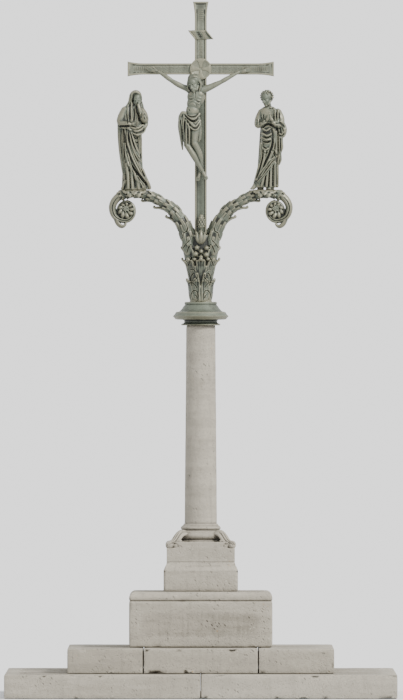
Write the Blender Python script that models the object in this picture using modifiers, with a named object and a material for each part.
"""Wayside cross on a stone column: stepped base, claw-footed column, and a cast bronze
top with two leafy branches, a cross and three figures. Metres, +Z up, the front faces -Y.
The origin is on the ground at the middle of the lowest step."""

import math

import bmesh
import bpy
from mathutils import Matrix, Vector

# Clearances between pieces
GAP = 0.0003
STONE_JOINT = 0.004

# Steps and plinth
STEP_1_WIDTH = 3.136
STEP_1_RISE = 0.192
STEP_2_WIDTH = 2.136
STEP_2_RISE = 0.200
STEP_2_MIDDLE_STONE = 0.920
STEP_2_STONE_DEPTH = 0.620
STEP_ARRIS = 0.006
PLINTH_WIDTH = 1.152
PLINTH_RISE = 0.374
PLINTH_ARRIS = 0.014
PLINTH_CAP_RISE = 0.072
PLINTH_CAP_ROUND = 0.052

# Pedestal and the column's foot block
PEDESTAL_WIDTH = 0.600
PEDESTAL_DADO_RISE = 0.173
PEDESTAL_SPLAY_RISE = 0.062
FOOT_WIDTH = 0.548
FOOT_BLOCK_RISE = 0.160
FOOT_DRUM_RADIUS = 0.321
FOOT_CORNER_DROP = 0.050
FOOT_TORUS_RADIUS = 0.206
FOOT_TORUS_RISE = 0.090
FOOT_RING_RADIUS = 0.162
FOOT_RING_RISE = 0.057
CLAW_WIDTH = 0.080
CLAW_KNOB_RADIUS = 0.025

# Column
SHAFT_FOOT_RADIUS = 0.131
SHAFT_HEAD_RADIUS = 0.118
SHAFT_RISE = 1.594

# Moulded bronze ring that crowns the column
CROWN_RISE = 0.190
CROWN_ASTRAGAL_RADIUS = 0.160
CROWN_DISC_RADIUS = 0.225
CROWN_BELL_RADIUS = 0.168
CROWN_COLLAR_RADIUS = 0.131
ROUND_STEPS = 24

# Leafy branches
BRANCHES_RISE = 0.916
BRANCHES_GRID = 114.5
BRANCHES_FACES = 3000
SEAT_CUT = 0.014
SEAT_DEPTH = 0.150

# Cross
POST_WIDTH = 0.096
POST_DEPTH = 0.064
POST_ROOT = 0.440
CROSSBAR_SPAN = 1.178
CROSSBAR_RISE = 0.090
CROSSBAR_ABOVE_SEAT = 0.972
CROSS_ABOVE_SEAT = 1.514
CROSS_END_FLARE = 0.015
CROSS_FLARE_LENGTH = 0.140
SOCKET_CLEARANCE = 0.001
HALO_RADIUS = 0.086
HALO_THICKNESS = 0.012

# Title scroll
TITLE_WIDTH = 0.146
TITLE_RISE = 0.074
TITLE_SLANT = 0.056
TITLE_THICKNESS = 0.010
TITLE_ROLL_RADIUS = 0.009
TITLE_ABOVE_CROSSBAR = 0.274

# Figures
VEILED_HEIGHT = 0.806
YOUTH_HEIGHT = 0.806
HANGING_HEIGHT = 0.870
HANGING_BELOW_CROSSBAR = 0.915
VEILED_OFFSET = -0.535
YOUTH_OFFSET = 0.513
FIGURE_FACES = 1100

# Fusing of modelled forms
CLAY_CELL = 0.0075
CLAY_SMOOTHING = 2

STONE = ((0.62, 0.58, 0.50, 1.0), 0.9, 0.0)
BRONZE = ((0.25, 0.29, 0.24, 1.0), 0.55, 0.8)

# Levels worked out from the sizes above
STEP_2_BOTTOM = STEP_1_RISE + GAP
PLINTH_BOTTOM = STEP_2_BOTTOM + STEP_2_RISE + GAP
PLINTH_CAP_BOTTOM = PLINTH_BOTTOM + PLINTH_RISE + GAP
PEDESTAL_BOTTOM = PLINTH_CAP_BOTTOM + PLINTH_CAP_RISE + GAP
FOOT_BOTTOM = PEDESTAL_BOTTOM + PEDESTAL_DADO_RISE + PEDESTAL_SPLAY_RISE + GAP
FOOT_RISE = FOOT_BLOCK_RISE + FOOT_TORUS_RISE + FOOT_RING_RISE
SHAFT_BOTTOM = FOOT_BOTTOM + FOOT_RISE + GAP
CROWN_BOTTOM = SHAFT_BOTTOM + SHAFT_RISE + GAP
BRANCHES_BOTTOM = CROWN_BOTTOM + CROWN_RISE + GAP
CREST = BRANCHES_BOTTOM + BRANCHES_RISE
SEAT = CREST - SEAT_CUT
CROSSBAR_LEVEL = SEAT + CROSSBAR_ABOVE_SEAT
CROSS_TOP = SEAT + CROSS_ABOVE_SEAT
POST_BOTTOM = SEAT - POST_ROOT
POST_FRONT = -POST_DEPTH / 2


# Scene and materials
def clear_scene():
    for old in list(bpy.data.objects):
        bpy.data.objects.remove(old)


def make_material(name, look):
    colour, roughness, metallic = look
    material = bpy.data.materials.new(name)
    material.use_nodes = True
    shader = material.node_tree.nodes["Principled BSDF"]
    shader.inputs["Base Color"].default_value = colour
    shader.inputs["Roughness"].default_value = roughness
    shader.inputs["Metallic"].default_value = metallic
    material.diffuse_color = colour
    return material


def make_collection(name):
    collection = bpy.data.collections.new(name)
    bpy.context.scene.collection.children.link(collection)
    return collection


def add_object(name, mesh, collection, material=None):
    piece = bpy.data.objects.new(name, mesh)
    collection.objects.link(piece)
    if material:
        mesh.materials.append(material)
    return piece


def add_bmesh(name, shape, collection, material=None):
    bmesh.ops.recalc_face_normals(shape, faces=shape.faces)
    mesh = bpy.data.meshes.new(name)
    shape.to_mesh(mesh)
    shape.free()
    return add_object(name, mesh, collection, material)


def add_cutter(name, low, high):
    """A box that cuts, drawn as a wire."""
    shape = bmesh.new()
    size = Vector(high) - Vector(low)
    middle = (Vector(high) + Vector(low)) / 2
    bmesh.ops.create_cube(shape, size=1.0, matrix=Matrix.Translation(middle) @ Matrix.Diagonal((*size, 1.0)))
    return hide_cutter(add_bmesh(name, shape, cutters))


def hide_cutter(cutter):
    cutter.hide_render = True
    cutter.display_type = "WIRE"
    return cutter


def cut(piece, cutter, operation="DIFFERENCE"):
    modifier = piece.modifiers.new(cutter.name, "BOOLEAN")
    modifier.object = cutter
    modifier.operation = operation


def smooth_round_faces(piece, angle=40):
    piece.data.shade_smooth()
    piece.data.set_sharp_from_angle(angle=math.radians(angle))


def baked(piece):
    """Replaces the object's mesh with what its modifiers make of it."""
    graph = bpy.context.evaluated_depsgraph_get()
    mesh = bpy.data.meshes.new_from_object(piece.evaluated_get(graph))
    piece.modifiers.clear()
    piece.data = mesh
    return piece


def keep_largest(piece):
    """Drops the loose flaps that thinning leaves, and the crumbs that fusing leaves inside a form."""
    shape = bmesh.new()
    shape.from_mesh(piece.data)
    flaps = [face for face in shape.faces if {1, 3} <= {len(edge.link_faces) for edge in face.edges}]
    bmesh.ops.delete(shape, geom=flaps, context="FACES")
    left = set(shape.verts)
    bodies = []
    while left:
        body = {left.pop()}
        edge_of_body = list(body)
        while edge_of_body:
            corner = edge_of_body.pop()
            for edge in corner.link_edges:
                other = edge.other_vert(corner)
                if other in left:
                    left.remove(other)
                    body.add(other)
                    edge_of_body.append(other)
        bodies.append(body)
    bodies.sort(key=len)
    crumbs = [corner for body in bodies[:-1] for corner in body]
    bmesh.ops.delete(shape, geom=crumbs, context="VERTS")
    shape.to_mesh(piece.data)
    shape.free()
    return piece


# Turned and squared stonework
def turned(name, profile, steps, collection, material=None):
    """Spins (radius, level) points, listed from the top down, round the Z axis."""
    shape = bmesh.new()
    points = [(0.0, profile[0][1]), *profile, (0.0, profile[-1][1])]
    corners = [shape.verts.new((radius, 0.0, level)) for radius, level in points]
    for above, below in zip(corners, corners[1:]):
        shape.edges.new((above, below))
    mesh = bpy.data.meshes.new(name)
    shape.to_mesh(mesh)
    shape.free()
    piece = add_object(name, mesh, collection, material)
    screw = piece.modifiers.new("Screw", "SCREW")
    screw.steps = screw.render_steps = steps
    screw.use_merge_vertices = True
    screw.merge_threshold = 0.0001
    return baked(piece)


def squared(name, profile, collection, material=None):
    """Like turned, but square in plan: the profile's first numbers are half widths."""
    corner = math.sqrt(2)
    piece = turned(name, [(half * corner, level) for half, level in profile], 4, collection, material)
    piece.data.transform(Matrix.Rotation(math.radians(45), 4, "Z"))
    smooth_round_faces(piece, 25)
    return piece


def stone_block(name, low, high, arris):
    bpy.ops.mesh.primitive_cube_add(size=1.0)
    piece = bpy.context.object
    piece.name = piece.data.name = name
    for other in piece.users_collection:
        other.objects.unlink(piece)
    parts.objects.link(piece)
    size = Vector(high) - Vector(low)
    piece.data.transform(Matrix.Diagonal((*size, 1.0)))
    piece.location = (Vector(high) + Vector(low)) / 2
    bevel = piece.modifiers.new("Arris", "BEVEL")
    bevel.width = arris
    bevel.segments = 1
    piece.data.materials.append(stone)
    return piece


def build_lower_step():
    """Four large slabs that meet under the middle of the base."""
    outer = STEP_1_WIDTH / 2
    inner = STONE_JOINT / 2
    for side_y, row in ((-1, "front"), (1, "back")):
        for side_x, side in ((-1, "left"), (1, "right")):
            ends_x = sorted((side_x * inner, side_x * outer))
            ends_y = sorted((side_y * inner, side_y * outer))
            low = (ends_x[0], ends_y[0], 0.0)
            high = (ends_x[1], ends_y[1], STEP_1_RISE)
            stone_block(f"lower_step_{row}_{side}", low, high, STEP_ARRIS)


def build_upper_step():
    """Corner stones, and middle stones that run in under the plinth."""
    outer = STEP_2_WIDTH / 2
    middle = STEP_2_MIDDLE_STONE / 2
    depth = STEP_2_STONE_DEPTH
    joint = STONE_JOINT / 2
    low_level, high_level = STEP_2_BOTTOM, STEP_2_BOTTOM + STEP_2_RISE
    heart = outer - depth
    for side_y, row in ((-1, "front"), (1, "back")):
        ends_y = sorted((side_y * joint, side_y * outer))
        low = (-middle + joint, ends_y[0], low_level)
        stone_block(f"upper_step_{row}_middle", low, (middle - joint, ends_y[1], high_level), STEP_ARRIS)
        for side_x, side in ((-1, "left"), (1, "right")):
            ends_x = sorted((side_x * (middle + joint), side_x * outer))
            ends_y = sorted((side_y * (heart + joint), side_y * outer))
            low = (ends_x[0], ends_y[0], low_level)
            high = (ends_x[1], ends_y[1], high_level)
            stone_block(f"upper_step_{row}_{side}", low, high, STEP_ARRIS)
    for side_x, side in ((-1, "left"), (1, "right")):
        ends_x = sorted((side_x * (middle + joint), side_x * outer))
        low = (ends_x[0], -heart + joint, low_level)
        high = (ends_x[1], heart - joint, high_level)
        stone_block(f"upper_step_{side}_side", low, high, STEP_ARRIS)


def quarter_round(half_width, top, radius, steps=5):
    """The points of a rounded upper edge, from the top down."""
    points = []
    for step in range(steps + 1):
        angle = math.radians(90 * step / steps)
        out = half_width - radius + radius * math.sin(angle)
        points.append((out, top - radius + radius * math.cos(angle)))
    return points


def build_plinth():
    half = PLINTH_WIDTH / 2
    low = (-half, -half, PLINTH_BOTTOM)
    high = (half, half, PLINTH_BOTTOM + PLINTH_RISE)
    stone_block("plinth_block", low, high, PLINTH_ARRIS)
    top = PLINTH_CAP_BOTTOM + PLINTH_CAP_RISE
    profile = quarter_round(half, top, PLINTH_CAP_ROUND)
    squared("plinth_cap", [*profile, (half, PLINTH_CAP_BOTTOM)], parts, stone)


def build_pedestal():
    half = PEDESTAL_WIDTH / 2
    splay_foot = PEDESTAL_BOTTOM + PEDESTAL_DADO_RISE
    splay_head = splay_foot + PEDESTAL_SPLAY_RISE
    profile = [(FOOT_WIDTH / 2, splay_head), (half, splay_foot), (half, PEDESTAL_BOTTOM)]
    squared("pedestal", profile, parts, stone)


def bulge(radius_in, radius_out, top, bottom, steps=5):
    """A half-round moulding from (radius_in, top) out to radius_out and back in, top down."""
    points = []
    for step in range(steps + 1):
        angle = math.pi * step / steps
        level = top + (bottom - top) * (1 - math.cos(angle)) / 2
        points.append((radius_in + (radius_out - radius_in) * math.sin(angle), level))
    return points


# Lofts and modelled forms
def add_lump(shape, lump):
    """Adds a small form to the heap and frees it."""
    lump.to_mesh(lump_mesh)
    lump.free()
    shape.from_mesh(lump_mesh)


def loft(shape, rings):
    """Closed skin through rings of points, each ring with the same number of points."""
    lump = bmesh.new()
    cap = lump.faces.new([lump.verts.new(point) for point in rings[0]])
    for number, ring in enumerate(rings[1:]):
        made = bmesh.ops.extrude_face_region(lump, geom=[cap])["geom"]
        moved = next(part for part in made if isinstance(part, bmesh.types.BMFace))
        if number:
            lump.faces.remove(cap)
        cap = moved
        for corner, point in zip(cap.verts, ring):
            corner.co = point
    bmesh.ops.recalc_face_normals(lump, faces=lump.faces)
    add_lump(shape, lump)


def eased(points, spans):
    """Points read from a smooth curve through the given ones. Each may hold a size after x, y, z."""
    rows = [Vector(point) for point in points]
    rows = [2 * rows[0] - rows[1], *rows, 2 * rows[-1] - rows[-2]]
    read = []
    for a, b, c, d in zip(rows, rows[1:], rows[2:], rows[3:]):
        for step in range(spans):
            t = step / spans
            curve = 2 * b + (c - a) * t + (2 * a - 5 * b + 4 * c - d) * t**2 + (3 * b - a - 3 * c + d) * t**3
            read.append(curve / 2)
    return [*read, rows[-2]]


def place(x, y, z, size=None):
    return Vector((x, y, z) if size is None else (x, y, z, size))


def frames_along(points):
    """A square frame at each point of a path, turned as little as possible from one to the next."""
    frames = []
    side = None
    for number, point in enumerate(points):
        before = points[max(number - 1, 0)]
        after = points[min(number + 1, len(points) - 1)]
        ahead = (after - before).normalized()
        if side is None:
            side = ahead.orthogonal().normalized()
        side = (side - ahead * side.dot(ahead)).normalized()
        frames.append((point, side, ahead.cross(side)))
    return frames


def roll(shape, nodes, spans=3, sides=8, flat=1.0, flat_axis=(0, 1, 0)):
    """A rolled length of clay through (x, y, z, radius) nodes with rounded ends."""
    rows = eased([place(*node) for node in nodes], spans)
    points = [Vector(row[:3]) for row in rows]
    sizes = [max(row[3], 1e-5) for row in rows]
    start = points[0] + (points[0] - points[1]).normalized() * sizes[0] * 0.7
    end = points[-1] + (points[-1] - points[-2]).normalized() * sizes[-1] * 0.7
    points = [start, *points, end]
    sizes = [sizes[0] * 0.45, *sizes, sizes[-1] * 0.45]
    axis = Vector(flat_axis)
    rings = []
    for (point, side, up), size in zip(frames_along(points), sizes):
        ring = []
        for step in range(sides):
            angle = 2 * math.pi * step / sides
            offset = (side * math.cos(angle) + up * math.sin(angle)) * size
            offset -= axis * offset.dot(axis) * (1 - flat)
            ring.append(point + offset)
        rings.append(ring)
    loft(shape, rings)


def ball(shape, centre, radii, turn=(0, 0, 0), rings=8):
    """An ellipsoid of clay; turn is in degrees about X, Y and Z."""
    matrix = Matrix.Translation(centre)
    for angle, axis in zip(turn, "XYZ"):
        matrix @= Matrix.Rotation(math.radians(angle), 4, axis)
    matrix @= Matrix.Diagonal((*radii, 1.0))
    lump = bmesh.new()
    bmesh.ops.create_uvsphere(lump, u_segments=rings + 4, v_segments=rings, radius=1.0, matrix=matrix)
    add_lump(shape, lump)


def robe(shape, sections, sides=20, spans=2):
    """A draped body: each section is (level, left, right, front, back)."""
    rings = []
    for level, left, right, front, back in eased(sections, spans) if spans > 1 else sections:
        ring = []
        for step in range(sides):
            angle = 2 * math.pi * step / sides
            across, deep = math.cos(angle), math.sin(angle)
            x = (left + right) / 2 + (right - left) / 2 * across
            ring.append((x, (front if deep < 0 else back) * deep, level))
        rings.append(ring)
    loft(shape, rings)


def leaf(shape, spine, normals, width):
    """A lobed leaf of clay: a midrib with a knob at its tip, and pairs of rounded side lobes."""
    count = len(spine) - 1
    rib = [(*point, width * 0.18) for point in spine]
    roll(shape, rib, spans=1, sides=6)
    ball(shape, spine[-1], (width * 0.24,) * 3, rings=5)
    for share, spread in ((0.15, 0.5), (0.65, 0.42)):
        number = int(share * count)
        base, out = spine[number], normals[number]
        ahead = (spine[number + 1] - base).normalized()
        across = ahead.cross(out).normalized()
        reach = width * spread
        for side in (-1, 1):
            middle = base + across * side * reach * 0.55 + ahead * reach * 0.45
            tip = base + across * side * reach + ahead * reach * 1.0 + out * width * 0.05
            lobe = ((*base, width * 0.16), (*middle, width * 0.21), (*tip, width * 0.14))
            roll(shape, lobe, spans=2, sides=6)


def fused(name, shape, module, spot, knives, faces):
    """Fuses a heap of forms into one skin, moves it to its spot, cuts it with the knives, and thins it."""
    piece = add_bmesh(name, shape, parts, bronze)
    piece.data.transform(Matrix.Scale(module, 4))
    fuse = piece.modifiers.new("Fuse", "REMESH")
    fuse.mode = "VOXEL"
    fuse.voxel_size = CLAY_CELL
    ease = piece.modifiers.new("Ease", "SMOOTH")
    ease.factor = 0.5
    ease.iterations = int(CLAY_SMOOTHING)
    keep_largest(baked(piece))
    piece.data.transform(Matrix.Translation(spot))
    for knife in knives:
        cut(piece, knife)
    weld = piece.modifiers.new("Weld", "WELD")
    weld.merge_threshold = 0.0001
    piece.modifiers.new("Triangles", "TRIANGULATE")
    keep_largest(baked(piece))
    full = len(piece.data.polygons)
    thin = piece.modifiers.new("Thin", "DECIMATE")
    thin.ratio = min(1.0, faces / full)
    smooth_round_faces(keep_largest(baked(piece)), 60)
    return piece


def clamp(piece, axis, low=-math.inf, high=math.inf, near=0.01):
    """Sets the corners that thinning moved over a flat seat back onto it."""
    for corner in piece.data.vertices:
        if corner.co[axis] < low < corner.co[axis] + near:
            corner.co[axis] = low
        if corner.co[axis] > high > corner.co[axis] - near:
            corner.co[axis] = high


# Column foot with its four claws
def build_column_foot():
    block_top = FOOT_BOTTOM + FOOT_BLOCK_RISE
    torus_top = block_top + FOOT_TORUS_RISE
    ring_top = torus_top + FOOT_RING_RISE
    half = FOOT_WIDTH / 2
    corner = half * math.sqrt(2)
    cove = [(FOOT_DRUM_RADIUS, block_top)]
    for step in range(1, 5):
        angle = math.radians(90 * step / 4)
        radius = FOOT_DRUM_RADIUS + FOOT_CORNER_DROP * 0.6 * (1 - math.cos(angle))
        cove.append((radius, block_top - FOOT_CORNER_DROP * math.sin(angle)))
    cove += [(corner * 1.05, block_top - FOOT_CORNER_DROP), (corner * 1.05, FOOT_BOTTOM)]
    foot = turned("column_foot", cove, 32, parts, stone)
    square = hide_cutter(squared("foot_square", [(half, ring_top), (half, FOOT_BOTTOM - 0.01)], cutters))
    cut(foot, square, "INTERSECT")
    hollow = FOOT_RING_RADIUS * 0.93
    fillet = FOOT_TORUS_RISE * 0.22
    profile = bulge(SHAFT_FOOT_RADIUS, FOOT_RING_RADIUS, ring_top, torus_top + FOOT_RING_RISE * 0.15, 4)
    profile += [(hollow, torus_top)]
    profile += bulge(hollow * 1.04, FOOT_TORUS_RADIUS, torus_top, block_top + fillet, 6)[1:-1]
    edge = FOOT_TORUS_RADIUS * 0.87
    profile += [(edge, block_top + fillet), (edge, block_top - FOOT_BLOCK_RISE * 0.4)]
    tori = turned("foot_tori", profile, 28, cutters)
    tori.data.transform(Matrix.Rotation(math.radians(3), 4, "Z"))
    cut(foot, hide_cutter(tori), "UNION")
    for number in range(4):
        claw = build_claw(torus_top, block_top, corner)
        claw.data.transform(Matrix.Rotation(math.radians(45 + 90 * number), 4, "Z"))
        claw.name = f"claw_{number}"
        cut(foot, hide_cutter(claw), "UNION")
    smooth_round_faces(baked(foot), 35)


def build_claw(torus_top, block_top, corner):
    """One curled leaf, made along +X, from the hollow over the torus down to a corner."""
    shape = bmesh.new()
    wide = CLAW_WIDTH / 2
    knob = CLAW_KNOB_RADIUS
    floor = block_top - FOOT_CORNER_DROP
    start, reach = FOOT_RING_RADIUS * 1.02, corner * 0.925
    drop = torus_top - floor
    spine = [(start, torus_top - knob), (start + (reach - start) * 0.4, torus_top - knob * 0.8)]
    spine += [(start + (reach - start) * 0.72, torus_top - drop * 0.36), (reach - knob * 0.6, floor + knob)]
    for across, thick in ((0.0, 0.42), (-0.55, 0.34), (0.55, 0.34)):
        sink = abs(across) * wide * 0.3
        roll(shape, [(x, across * wide, z - sink, thick * wide) for x, z in spine], spans=2)
    ball(shape, (reach, 0.0, floor + knob * 0.8), (knob,) * 3, rings=7)
    for side in (-1, 1):
        lobe = (reach - knob * 1.6, side * wide * 0.75, floor + knob * 0.6)
        ball(shape, lobe, (knob * 0.8,) * 3, rings=7)
    claw = add_bmesh("claw", shape, cutters)
    fuse = claw.modifiers.new("Fuse", "REMESH")
    fuse.mode = "VOXEL"
    fuse.voxel_size = CLAW_KNOB_RADIUS / 4
    thin = claw.modifiers.new("Thin", "DECIMATE")
    thin.ratio = 0.03
    return keep_largest(baked(claw))


def build_shaft():
    top = SHAFT_BOTTOM + SHAFT_RISE
    profile = [(SHAFT_HEAD_RADIUS, top), (SHAFT_FOOT_RADIUS, SHAFT_BOTTOM)]
    smooth_round_faces(turned("column_shaft", profile, 36, parts, stone))


def build_crown():
    """Astragal, necking, sharp-edged disc, bell and collar, from the bottom up."""
    rise = CROWN_RISE
    neck = SHAFT_HEAD_RADIUS * 1.13

    def at(share):
        return CROWN_BOTTOM + rise * share

    profile = [(CROWN_COLLAR_RADIUS * 0.9, at(1.0)), (CROWN_COLLAR_RADIUS, at(0.94))]
    profile += [(CROWN_COLLAR_RADIUS * 0.95, at(0.88)), (CROWN_BELL_RADIUS * 0.86, at(0.71))]
    profile += [(CROWN_BELL_RADIUS, at(0.61)), (CROWN_DISC_RADIUS * 0.86, at(0.595))]
    profile += [(CROWN_DISC_RADIUS * 0.9, at(0.52)), (CROWN_DISC_RADIUS, at(0.385))]
    profile += [(CROWN_DISC_RADIUS * 0.87, at(0.235)), (neck * 1.06, at(0.21))]
    profile += [(neck, at(0.12)), (CROWN_ASTRAGAL_RADIUS * 0.92, at(0.05))]
    profile += [(CROWN_ASTRAGAL_RADIUS, at(0.02)), (CROWN_ASTRAGAL_RADIUS * 0.97, at(0.0))]
    smooth_round_faces(turned("crown_mouldings", profile, ROUND_STEPS, parts, bronze), 30)


# Leafy branches
def branch_nodes(side):
    """Centre line and thickness of one branch on the drawing grid: offset, depth, rise, radius."""
    line = (
        (6.0, 38, 9.0), (10.0, 54, 8.6), (13.0, 67, 7.2), (18.8, 81.0, 6.3), (27.3, 92.0, 5.3),
        (38.0, 99.8, 4.5), (50.0, 106.0, 4.1), (63.0, 109.9, 4.2), (75.5, 109.2, 4.2),
        (84.8, 103.6, 4.0), (88.9, 95.4, 3.7), (86.8, 86.6, 3.4), (80.2, 82.2, 3.0),
        (72.6, 82.4, 2.6), (67.6, 88.2, 2.3), (68.0, 96.0, 2.1), (73.6, 100.6, 1.9), (79.6, 98.6, 1.6),
    )
    return [(side * offset, 0.0, rise, radius) for offset, rise, radius in line]


def leaf_on_path(shape, path, start, end, turn, lift, width):
    """A leaf that grows along a path of (x, y, z, radius) rows and curls its tip off it."""
    spine, normals = [], []
    steps = 6
    for step in range(steps + 1):
        share = step / steps
        along = (start + (end - start) * share) * (len(path) - 1)
        low = min(int(along), len(path) - 2)
        row = path[low].lerp(path[low + 1], along - low)
        ahead = Vector((path[low + 1] - path[low])[:3]).normalized()
        deep = Vector((0, 1, 0))
        out = ahead.cross(deep).normalized() * math.cos(turn) + deep * math.sin(turn)
        spine.append(Vector(row[:3]) + out * (row[3] * 0.97 + lift * share**4))
        normals.append(out)
    leaf(shape, spine, normals, width)


def leaf_on_stalk(shape, turn, rows, width):
    """An upright leaf on the stalk: rows are (radius, rise)."""
    out = Vector((math.cos(turn), math.sin(turn), 0.0))
    up = Vector((0, 0, 1))
    line = eased([Vector((radius, rise)) for radius, rise in rows], 2)
    spine, normals = [], []
    for number, row in enumerate(line):
        slope = (line[min(number + 1, len(line) - 1)] - line[max(number - 1, 0)]).normalized()
        spine.append(out * row[0] + up * row[1])
        normals.append((out * slope[1] - up * slope[0]).normalized())
    leaf(shape, spine, normals, width)


def add_stalk(shape):
    stalk = (
        (-2.0, -11.8, 11.8, 11.0, 11.0), (3.0, -10.7, 10.7, 10.0, 10.0), (12.0, -9.8, 9.8, 9.4, 9.4),
        (28.0, -10.6, 10.6, 9.8, 9.8), (45.0, -11.6, 11.6, 9.8, 9.8), (58.0, -14.0, 14.0, 9.2, 9.2),
        (67.0, -14.0, 14.0, 8.0, 8.0),
    )
    robe(shape, [Vector(row) for row in stalk], sides=20)
    tiers = (
        (8, 22.5, ((10.4, 1), (10.2, 8), (10.6, 14), (11.8, 19), (13.8, 21.4), (15.0, 22.6)), 8.6),
        (8, 0.0, ((10.2, 17), (10.8, 26), (12.4, 34), (14.8, 39.4), (17.2, 42.0), (18.6, 43.4)), 9.0),
        (2, 0.0, ((11.4, 38), (12.6, 45), (14.6, 51), (17.0, 55), (19.0, 56.6), (20.2, 58.2)), 8.0),
    )
    for count, offset, rows, width in tiers:
        for number in range(count):
            leaf_on_stalk(shape, math.radians(offset + 360 * number / count), rows, width)
    sides = ((10.4, 38), (11.0, 45), (12.2, 51), (13.6, 55.4), (15.0, 57.4), (16.0, 58.4))
    for turn in (32, 148, 212, 328):
        leaf_on_stalk(shape, math.radians(turn), sides, 8.0)
    for facing in (-1, 1):
        add_flowers(shape, facing)


def add_flowers(shape, facing):
    """Stems, a cluster of buds, a large bud and a cone, on the front or the back of the stalk."""
    for side in (-1, 1):
        stem = ((1.5, 9.6, -1, 1.5), (1.6, 10.2, 12, 1.2), (3.2, 11.2, 24, 1.5))
        roll(shape, [(side * x, facing * y, z, size) for x, y, z, size in stem])
    buds = (
        (-3.8, 54.2, 2.3), (5.8, 54.0, 2.3), (-5.2, 47.8, 2.7), (5.4, 47.0, 2.8), (0.2, 44.6, 2.4),
        (-6.4, 42.4, 2.0), (7.2, 42.6, 2.1), (0.4, 50.6, 2.0),
    )
    for x, rise, size in buds:
        ball(shape, (x, facing * (10.4 + size * 0.4), rise), (size,) * 3, rings=6)
    ball(shape, (0.0, facing * 9.8, 66.0), (3.8, 3.4, 6.0), rings=7)
    for side in (-1, 1):
        petal = ((1.5, 10.5, 60, 2.0), (3.8, 12.2, 66, 2.2), (2.4, 12.6, 71.6, 1.3))
        roll(shape, [(side * x, facing * y, z, size) for x, y, z, size in petal], spans=2)
    cone = ((0.6, 7.6, 72, 1.6), (0.6, 7.6, 78.6, 3.4), (0.6, 6.9, 84, 2.8), (0.6, 6.0, 87.5, 0.9))
    roll(shape, [(x, facing * y, z, size) for x, y, z, size in cone])


def add_branch(shape, side):
    nodes = branch_nodes(side)
    roll(shape, nodes, spans=4, sides=10)
    path = eased([Vector(node) for node in nodes], 4)
    below = math.pi if side > 0 else 0.0
    hooks = ((0.13, 0.24, 5.6, 7.4), (0.22, 0.32, 5.0, 6.6), (0.30, 0.385, 3.6, 6.0))
    for start, end, lift, width in hooks:
        leaf_on_path(shape, path, start, end, below, lift, width)
    rows = (
        (0.07, 0.18, 7.4), (0.15, 0.26, 7.0), (0.23, 0.33, 6.4), (0.30, 0.39, 5.8), (0.36, 0.45, 5.4),
        (0.42, 0.50, 5.0),
    )
    for start, end, width in rows:
        for turn in (0.30, 0.62):
            for facing in (-1, 1):
                leaf_on_path(shape, path, start, end, below + facing * math.pi * turn, 1.3, width)
    for start, end in ((0.36, 0.45), (0.43, 0.50)):
        leaf_on_path(shape, path, start, end, below, 1.4, 5.0)
    add_scroll_flower(shape, side)


def add_scroll_flower(shape, side):
    """The rosette inside the scroll, and the small leaf that drops from under it."""
    centre = Vector((side * 75.4, 0.0, 92.4))
    ball(shape, centre, (5.6, 2.6, 5.6), rings=8)
    for facing in (-1, 1):
        ball(shape, centre + Vector((0, facing * 2.2, 0)), (2.6, 1.6, 2.6), rings=6)
        for number in range(7):
            petal = []
            for reach, swirl, lift, size in ((2.6, 0, 1.8, 1.3), (5.0, 16, 2.8, 1.7), (7.6, 36, 1.6, 1.5)):
                angle = math.radians(360 * number / 7 + swirl)
                across, up = side * reach * math.cos(angle), -reach * math.sin(angle)
                petal.append((*(centre + Vector((across, facing * lift, up))), size))
            roll(shape, petal, spans=2)
    drop = ((86.4, 83.4, 1.8), (83.6, 78.2, 2.4), (79.6, 75.0, 2.2), (76.4, 76.6, 1.2))
    roll(shape, [(side * x, 0, z, size) for x, z, size in drop], spans=2)


def seats():
    """Name, offset and half length of the flat pad under each standing figure."""
    return (("veiled", VEILED_OFFSET, VEILED_HEIGHT * 0.18), ("young", YOUTH_OFFSET, YOUTH_HEIGHT * 0.18))


def build_branches():
    shape = bmesh.new()
    add_stalk(shape)
    for side in (-1, 1):
        add_branch(shape, side)
    module = BRANCHES_RISE / BRANCHES_GRID
    for name, offset, half in seats():
        pad = (half * 0.75 / module, SEAT_DEPTH / 2 / module, 3.4)
        ball(shape, (offset / module, 0, (SEAT - BRANCHES_BOTTOM) / module - 1.8), pad, rings=10)
    reach = BRANCHES_RISE * 2
    low = (-reach, -reach, BRANCHES_BOTTOM - reach)
    knives = [add_cutter("under_stalk", low, (reach, reach, BRANCHES_BOTTOM))]
    for name, offset, half in seats():
        low = (offset - half, -reach / 4, SEAT)
        knives.append(add_cutter(f"seat_of_{name}", low, (offset + half, reach / 4, SEAT + reach / 4)))
    half = POST_WIDTH / 2 + SOCKET_CLEARANCE
    deep = POST_DEPTH / 2 + SOCKET_CLEARANCE
    low = (-half, -deep, POST_BOTTOM - SOCKET_CLEARANCE)
    socket = add_cutter("socket", low, (half, deep, CROSS_TOP))
    knives.append(socket)
    tree = fused("leafy_branches", shape, module, (0, 0, BRANCHES_BOTTOM), knives, BRANCHES_FACES)
    clamp(tree, 2, low=BRANCHES_BOTTOM)
    for name, offset, half in seats():
        for corner in tree.data.vertices:
            if abs(corner.co.x - offset) < half and corner.co.z > SEAT:
                corner.co.z = SEAT
    cut(tree, socket)
    keep_largest(baked(tree))


# Cross and title scroll
def flared_end(start, end, half, turn):
    """Outline points of one arm, out along one edge, where turn places (along, across)."""
    points = []
    for step in range(5):
        share = step / 4
        along = end - CROSS_FLARE_LENGTH * (1 - share)
        points.append(turn(along, half + CROSS_END_FLARE * share**2))
    return [turn(start, half), *points]


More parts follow.
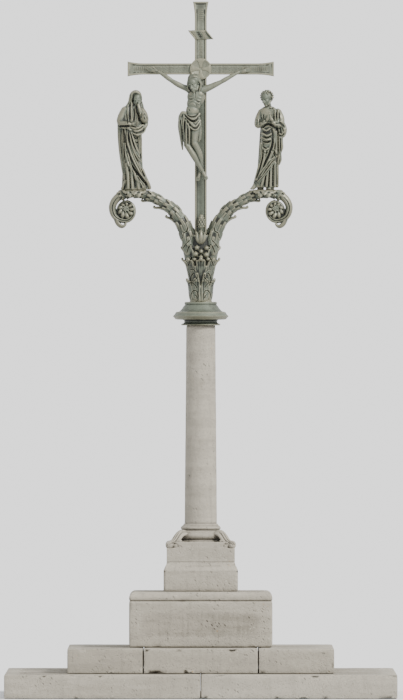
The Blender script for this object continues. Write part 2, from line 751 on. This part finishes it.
def build_cross():
    bar, post = CROSSBAR_RISE / 2, POST_WIDTH / 2
    reach, above = CROSSBAR_SPAN / 2, CROSS_TOP - CROSSBAR_LEVEL
    right = flared_end(post, reach, bar, lambda along, across: (along, across))
    up = flared_end(bar, above, post, lambda along, across: (across, along))
    outline = [(post, POST_BOTTOM - CROSSBAR_LEVEL), (post, -bar)]
    outline += [(x, -z) for x, z in right[1:]] + [*reversed(right)][:-1]
    outline += up
    outline += [(-x, z) for x, z in reversed(outline)]
    curve = bpy.data.curves.new("cross", "CURVE")
    curve.dimensions = "2D"
    curve.fill_mode = "BOTH"
    curve.extrude = POST_DEPTH / 2
    spline = curve.splines.new("POLY")
    spline.points.add(len(outline) - 1)
    for point, (x, z) in zip(spline.points, outline):
        point.co = (x, z, 0.0, 1.0)
    spline.use_cyclic_u = True
    drawn = add_object("cross_outline", curve, cutters)
    upright = Matrix.Rotation(math.radians(90), 4, "X")
    drawn.matrix_world = Matrix.Translation((0, 0, CROSSBAR_LEVEL)) @ upright
    cross = meshed("cross", drawn)
    halo = bmesh.new()
    depth = HALO_THICKNESS + POST_DEPTH / 2
    middle = Matrix.Translation((0, POST_FRONT - HALO_THICKNESS + depth / 2, CROSSBAR_LEVEL))
    radii = {"radius1": HALO_RADIUS, "radius2": HALO_RADIUS, "depth": depth}
    bmesh.ops.create_cone(halo, cap_ends=True, segments=32, **radii, matrix=middle @ upright)
    cut(cross, hide_cutter(add_bmesh("halo", halo, cutters)), "UNION")
    smooth_round_faces(baked(cross), 30)


def meshed(name, curve_object):
    """Makes a mesh of a curve, with its caps welded on."""
    bpy.context.view_layer.update()
    graph = bpy.context.evaluated_depsgraph_get()
    mesh = bpy.data.meshes.new_from_object(curve_object.evaluated_get(graph))
    shape = bmesh.new()
    shape.from_mesh(mesh)
    bmesh.ops.remove_doubles(shape, verts=shape.verts, dist=0.00001)
    bmesh.ops.recalc_face_normals(shape, faces=shape.faces)
    shape.transform(curve_object.matrix_world)
    bpy.data.objects.remove(curve_object)
    return add_bmesh(name, shape, parts, bronze)


def build_title_scroll():
    """A slanted strip in front of the upper arm, with a small roll down each end."""
    shape = bmesh.new()
    back = POST_FRONT - GAP
    middle = CROSSBAR_LEVEL + TITLE_ABOVE_CROSSBAR
    half, rise, slant = TITLE_WIDTH / 2, TITLE_RISE / 2, TITLE_SLANT / 2
    corners = ((-half - slant, rise), (half - slant, rise), (half + slant, -rise), (-half + slant, -rise))
    faces = (back + TITLE_THICKNESS, back - TITLE_THICKNESS)
    loft(shape, [[(x, y, middle + z) for x, z in corners] for y in faces])
    title = add_bmesh("title_scroll", shape, parts, bronze)
    for side in (-1, 1):
        edge = bmesh.new()
        y = back - TITLE_ROLL_RADIUS * 0.7
        ends = ((side * half - slant, y, middle + rise), (side * half + slant, y, middle - rise))
        nodes = [(*end, TITLE_ROLL_RADIUS) for end in ends]
        roll(edge, nodes, spans=1, sides=10)
        cut(title, hide_cutter(add_bmesh(f"title_roll_{side}", edge, cutters)), "UNION")
    half_space = add_cutter("behind_title", (-1, back, middle - 1), (1, 1, middle + 1))
    cut(title, half_space)
    smooth_round_faces(baked(title), 35)


# Figures, each on a grid of hundredths of its own height
def build_veiled_figure():
    shape = bmesh.new()
    sections = (
        (-1.0, -14.5, 15.0, 8.6, 8.6), (4.5, -12.8, 14.6, 8.8, 8.6), (9.4, -10.8, 11.6, 8.6, 8.2),
        (20.4, -10.6, 7.4, 8.2, 8.0), (30.3, -10.8, 5.2, 8.0, 8.0), (40.2, -11.0, 4.6, 8.2, 8.0),
        (50.1, -11.8, 4.8, 8.4, 8.0), (58.0, -13.4, 6.5, 8.2, 7.6), (64.0, -15.4, 9.4, 8.0, 7.4),
        (70.0, -14.8, 9.6, 7.6, 7.2), (76.0, -12.6, 8.0, 7.0, 6.8), (81.0, -9.8, 6.4, 6.2, 6.2),
        (85.0, -6.6, 4.6, 5.0, 5.2), (88.0, -4.6, 3.4, 4.0, 4.6),
    )
    robe(shape, [Vector(row) for row in sections], sides=22)
    ball(shape, (1.0, -1.6, 91.6), (4.9, 5.8, 6.8), (12, 8, 0))
    ball(shape, (-0.2, 0.6, 93.0), (6.2, 6.4, 7.0), (8, 10, 0))
    roll(shape, ((-3.4, 0.8, 92, 4.6), (-5.8, 0.6, 84, 4.6), (-8.8, -0.4, 76, 4.8)))
    roll(shape, ((3.6, 1.6, 90, 3.4), (4.4, 1.4, 84, 3.6)))
    raised_arm = (
        (4.6, -1.0, 81, 4.2), (7.6, -3.4, 76, 4.2), (9.2, -5.0, 70, 4.0), (7.4, -8.4, 76.5, 2.7),
        (4.2, -9.0, 84.5, 1.9), (3.4, -8.0, 88.6, 1.7),
    )
    crossed_arm = (
        (-8.6, 0.0, 81, 4.2), (-13.0, -2.0, 73, 4.2), (-14.4, -4.0, 67, 3.9), (-8.0, -8.4, 65.6, 2.9),
        (-2.4, -10.2, 65.2, 2.3), (1.0, -10.2, 66.0, 1.7),
    )
    mantle = ((-15.2, -2.2, 66, 3.0), (-15.6, -2.4, 50, 2.6), (-14.4, -2.0, 32, 2.4), (-12.6, -2.0, 15, 1.7))
    for nodes in (raised_arm, crossed_arm, mantle):
        roll(shape, nodes)
    upper_swag = ((-11, -7.6, 62), (-1, -10.0, 57.6), (8.6, -6.0, 61))
    lower_swag = ((-10, -7.6, 60), (0, -9.6, 54), (7.0, -5.8, 57))
    for swag in (upper_swag, lower_swag):
        roll(shape, [(*point, 1.5) for point in swag])
    folds = (
        ((-10, -6.4, 60), (-6.0, -8.4, 42), (0.6, -8.6, 22), (9.0, -7.0, 6)),
        ((-6, -8.2, 58), (-2.4, -8.8, 46), (2.6, -7.8, 33), (6.2, -5.8, 28)),
        ((4.8, -5.4, 55), (5.2, -5.2, 42), (6.0, -5.4, 28)),
        ((-8.6, -6.8, 40), (-4.6, -8.6, 20), (2.6, -8.8, 2)),
        ((-10.2, -4.8, 34), (-9.4, -6.6, 16), (-9.6, -7.6, 0)),
        ((-7.0, -7.6, 22), (-5.0, -8.6, 8), (-4.6, -8.8, 0)),
        ((2.0, -8.2, 20), (6.8, -8.2, 8), (12.6, -5.6, 1)),
        ((-11.4, -5.8, 6), (-13.4, -4.6, 1)), ((11.0, -5.8, 5), (14.4, -3.8, 1)),
    )
    for fold in folds:
        roll(shape, [(*point, 1.35) for point in fold])
    add_back_folds(shape, (-8.5, -4.0, 0.5, 4.4), 8.0, 74)
    seat_figure("veiled_figure", shape, VEILED_HEIGHT, VEILED_OFFSET)


def build_young_figure():
    shape = bmesh.new()
    sections = (
        (2.6, -11.2, 10.7, 7.8, 7.6), (6.6, -11.4, 11.0, 8.0, 7.8), (11.7, -10.4, 11.0, 8.0, 7.8),
        (17.8, -8.8, 11.0, 7.8, 7.8), (28.0, -6.4, 11.6, 7.8, 7.8), (38.2, -5.5, 12.2, 8.0, 7.8),
        (48.4, -5.2, 12.6, 8.2, 7.8), (56.0, -5.4, 12.6, 8.2, 7.6), (64.7, -6.4, 13.6, 7.6, 7.2),
        (71.0, -7.4, 14.4, 7.2, 7.0), (76.0, -7.2, 14.4, 6.8, 6.6), (80.0, -4.8, 12.6, 5.8, 5.8),
        (83.0, -0.6, 8.6, 4.2, 4.6),
    )
    robe(shape, [Vector(row) for row in sections], sides=22)
    roll(shape, ((4.0, -0.6, 81, 3.0), (2.6, -1.4, 86, 2.8)), spans=1)
    ball(shape, (0.6, -1.8, 91.4), (5.4, 6.0, 7.2), (10, -14, 0))
    for number in range(12):
        angle = math.radians(-30 + 240 * number / 11)
        curl = (1.0 + 5.9 * math.cos(angle), 0.4, 93.0 + 6.6 * math.sin(angle))
        ball(shape, curl, (1.9, 3.6, 1.9), rings=5)
    for number in range(7):
        angle = math.radians(28 + 130 * number / 6)
        curl = (0.6 + 4.4 * math.cos(angle), -5.0, 93.6 + 4.6 * math.sin(angle))
        ball(shape, curl, (1.5, 1.5, 1.5), rings=5)
    left_arm = (
        (-4.4, 0.0, 78, 3.9), (-7.6, -1.6, 71, 3.7), (-8.0, -3.4, 64.6, 3.3), (-2.6, -8.0, 66.6, 2.4),
        (2.4, -9.8, 70.0, 1.9),
    )
    right_arm = (
        (12.4, 0.0, 78, 4.2), (16.0, -1.8, 71, 4.2), (16.4, -3.6, 64.6, 3.8), (10.6, -8.0, 66.8, 2.6),
        (5.0, -9.8, 70.0, 1.9),
    )
    mantle = (
        (17.4, -2.6, 62, 3.5), (18.0, -2.4, 55, 3.2), (15.6, -2.0, 48, 2.4), (16.6, -2.0, 38, 2.2),
        (14.0, -2.0, 26, 1.2),
    )
    for nodes in (left_arm, right_arm, mantle):
        roll(shape, nodes)
    ball(shape, (3.6, -10.2, 71.6), (2.4, 2.1, 3.5), rings=6)
    folds = (
        ((-4.6, -5.6, 58), (1.6, -8.9, 54.4), (8.2, -7.2, 57.6)),
        ((-4.0, -5.8, 49), (1.0, -8.6, 45.8), (6.2, -8.2, 49)),
        ((11.8, -3.6, 44), (7.6, -7.4, 30), (-1.0, -8.4, 17), (-9.0, -5.8, 8)),
        ((9.0, -6.8, 56), (10.0, -6.8, 44), (12.0, -4.6, 32)),
        ((-3.6, -6.6, 40), (-3.0, -7.6, 28), (-7.4, -6.2, 13)),
        ((6.4, -7.8, 26), (5.0, -8.3, 12), (3.6, -8.2, 3)),
        ((9.2, -6.6, 28), (8.8, -6.8, 14), (8.6, -6.6, 3)),
        ((2.6, -8.5, 22), (0.0, -8.5, 10), (-1.6, -8.2, 3)),
        ((13.0, -2.0, 80), (11.6, -5.6, 74), (10.4, -7.2, 66), (10.8, -7.2, 58)),
    )
    for fold in folds:
        roll(shape, [(*point, 1.3) for point in fold])
    add_back_folds(shape, (-3.0, 0.5, 4.6, 9.0), 7.6, 74)
    roll(shape, ((-8.0, -3.0, 6.0, 3.2), (-11.4, -4.6, 2.6, 2.3), (-13.8, -5.6, 0.9, 1.6)), flat=0.9)
    roll(shape, ((3.4, -2.0, 6.0, 3.6), (3.6, -5.0, 2.2, 2.6), (4.4, -8.6, 0.8, 1.7)), flat=0.9)
    roll(shape, ((-4.0, -0.5, 5.5, 3.6), (-4.0, -0.5, -1.0, 3.6)), spans=1)
    roll(shape, ((5.0, 0.5, 5.5, 4.4), (5.0, 0.5, -1.0, 4.4)), spans=1)
    seat_figure("young_figure", shape, YOUTH_HEIGHT, YOUTH_OFFSET)


def add_back_folds(shape, places, depth, top):
    """Upright folds down the back of a robe."""
    for number, x in enumerate(places):
        sway = 1.2 * (-1) ** number
        upper = (x * 0.7, depth * 0.72, top, 0.8)
        lower = (x * 1.3, depth, 3, 1.7)
        roll(shape, (upper, (x + sway, depth * 0.98, top * 0.55, 1.4), lower))


def seat_figure(name, shape, height, offset):
    """Stands a figure on its seat: its underside is cut flat just above it."""
    low = (offset - height, -height, SEAT - height)
    knife = add_cutter(f"under_{name}", low, (offset + height, height, SEAT + GAP))
    figure = fused(name, shape, height / 100, (offset, 0, SEAT + GAP), [knife], FIGURE_FACES)
    clamp(figure, 2, low=SEAT + GAP)


def add_arm(shape, shoulder, elbow, wrist, tip):
    roll(shape, ((*shoulder, 3.0), (*elbow, 2.2), (*wrist, 1.5)), spans=4)
    palm = Vector(wrist).lerp(Vector(tip), 0.45)
    roll(shape, ((*wrist, 1.5), (*palm, 2.2), (*tip, 1.0)), spans=2, flat=0.7)


def add_torso(shape):
    roll(shape, ((-11.8, -5.0, 86.8, 3.1), (-4.4, -5.8, 85.0, 4.0), (3.0, -5.0, 87.2, 3.1)))
    ball(shape, (-4.4, -6.4, 79.6), (7.6, 5.2, 9.2), (0, 4, 0))
    ball(shape, (-6.4, -6.6, 72.0), (6.0, 4.5, 6.0))
    ball(shape, (-7.8, -6.6, 66.4), (6.2, 4.6, 6.2))
    ball(shape, (-8.2, -6.0, 60.4), (6.8, 5.2, 5.8))


def add_legs(shape):
    """The legs cross at the ankles, and the nearer foot points to the viewer's right."""
    roll(shape, ((-5.0, -6.0, 60, 4.6), (-5.8, -8.8, 47, 4.2), (-6.4, -10.0, 37, 3.1)))
    roll(shape, ((-6.4, -10.0, 37, 2.9), (-2.0, -8.4, 30, 2.5), (0.2, -5.6, 22, 2.1), (0.4, -3.0, 11, 1.6)))
    roll(shape, ((0.4, -3.0, 11, 1.6), (-1.0, -3.0, 6, 1.8), (-3.4, -3.0, 0.6, 1.2)), flat=0.9)
    roll(shape, ((-11.2, -5.6, 60, 4.5), (-12.0, -8.4, 46, 4.0), (-12.2, -9.8, 34.4, 3.0)))
    shin = ((-12.2, -9.8, 34.4, 2.9), (-8.2, -9.2, 26.4, 2.5), (-3.8, -7.4, 18.6, 1.9), (1.6, -5.0, 11, 1.6))
    roll(shape, shin)
    roll(shape, ((1.6, -5.0, 11, 1.7), (3.6, -5.2, 7.2, 1.9), (5.8, -4.8, 3.0, 1.3)), flat=0.9)


def add_loincloth(shape):
    cloth = (
        (38.0, -13.6, -1.8, 12.2, -5.0), (44.0, -14.2, -1.0, 12.0, -3.6), (52.0, -15.0, -0.8, 11.2, -1.8),
        (58.0, -15.4, -0.8, 10.6, -1.0), (63.0, -14.8, -1.4, 10.4, -1.4),
    )
    robe(shape, [Vector(row) for row in cloth], sides=16)
    folds = (
        ((-14.6, -8, 63.4), (-8.6, -11.2, 58.6), (-1.4, -8.4, 63.4)),
        ((-13.4, -9, 60), (-7.0, -11.8, 53), (-1.2, -9, 58)),
        ((-12.8, -9.4, 57), (-12.0, -10.8, 46), (-12.4, -10.8, 36)),
        ((-2.6, -10.2, 56), (-1.8, -10.4, 46), (-2.2, -10.4, 39)),
        ((-9.6, -11.2, 52), (-9.4, -11.8, 44), (-9.8, -12.0, 36)),
    )
    for fold in folds:
        roll(shape, [(*point, 1.2) for point in fold])
    knot = (
        (-15.0, -6.4, 62, 2.8), (-18.0, -6.0, 61.6, 2.6), (-18.8, -6.2, 53, 2.9), (-17.8, -6.2, 42, 2.5),
        (-16.8, -5.8, 30.6, 1.2),
    )
    roll(shape, knot)
    roll(shape, ((-17.0, -8.0, 58, 1.6), (-16.2, -8.4, 48, 1.7), (-15.6, -7.6, 37, 1.2)))


def build_hanging_figure():
    """Hangs from the crossbar by both hands; y is measured from the front of the post."""
    shape = bmesh.new()
    ball(shape, (-6.4, -8.6, 92.0), (5.1, 5.6, 6.9), (20, -10, 0))
    ball(shape, (-5.8, -6.6, 95.6), (6.3, 5.3, 5.0), rings=7)
    ball(shape, (-6.4, -12.2, 86.2), (2.0, 1.9, 3.0), rings=6)
    roll(shape, ((-3.4, -5.0, 84, 2.8), (-5.2, -6.4, 89, 2.6)), spans=1)
    for lock in (((-10.8, -6.6, 96, 2.0), (-11.4, -7.4, 90, 1.8), (-10.8, -8.0, 84.8, 1.1)),
                 ((-1.8, -6.6, 96.4, 2.4), (1.0, -6.4, 91, 2.2), (0.2, -7.4, 84.4, 1.3))):
        roll(shape, lock)
    add_torso(shape)
    add_arm(shape, (-12.0, -5.0, 87.2), (-27.0, -4.6, 94.2), (-39.2, -2.6, 102.4), (-50.2, -1.6, 106.0))
    add_arm(shape, (3.4, -5.0, 87.4), (18.6, -4.6, 92.9), (35.2, -2.6, 102.0), (46.6, -1.6, 104.8))
    add_legs(shape)
    add_loincloth(shape)
    spot = (0, POST_FRONT, CROSSBAR_LEVEL - HANGING_BELOW_CROSSBAR)
    back = POST_FRONT - GAP
    reach = CROSSBAR_SPAN
    low = (-reach, back, CROSSBAR_LEVEL - reach)
    knives = [add_cutter("behind_figure", low, (reach, reach, CROSSBAR_LEVEL + reach))]
    disc = bmesh.new()
    radius = HALO_RADIUS + SOCKET_CLEARANCE * 2
    depth = HALO_THICKNESS + POST_DEPTH
    face = POST_FRONT - HALO_THICKNESS - SOCKET_CLEARANCE
    middle = Matrix.Translation((0, face + depth / 2, CROSSBAR_LEVEL))
    turn = middle @ Matrix.Rotation(math.radians(90), 4, "X")
    radii = {"radius1": radius, "radius2": radius, "depth": depth}
    bmesh.ops.create_cone(disc, cap_ends=True, segments=32, **radii, matrix=turn)
    knives.append(hide_cutter(add_bmesh("halo_space", disc, cutters)))
    figure = fused("hanging_figure", shape, HANGING_HEIGHT / 100, spot, knives, FIGURE_FACES)
    clamp(figure, 1, high=back)


clear_scene()
lump_mesh = bpy.data.meshes.new("lump")
parts = make_collection("wayside_cross")
cutters = make_collection("cutters")
stone = make_material("limestone", STONE)
bronze = make_material("weathered_bronze", BRONZE)
build_lower_step()
build_upper_step()
build_plinth()
build_pedestal()
build_column_foot()
build_shaft()
build_crown()
build_branches()
build_cross()
build_title_scroll()
build_veiled_figure()
build_young_figure()
build_hanging_figure()
bpy.data.meshes.remove(lump_mesh)
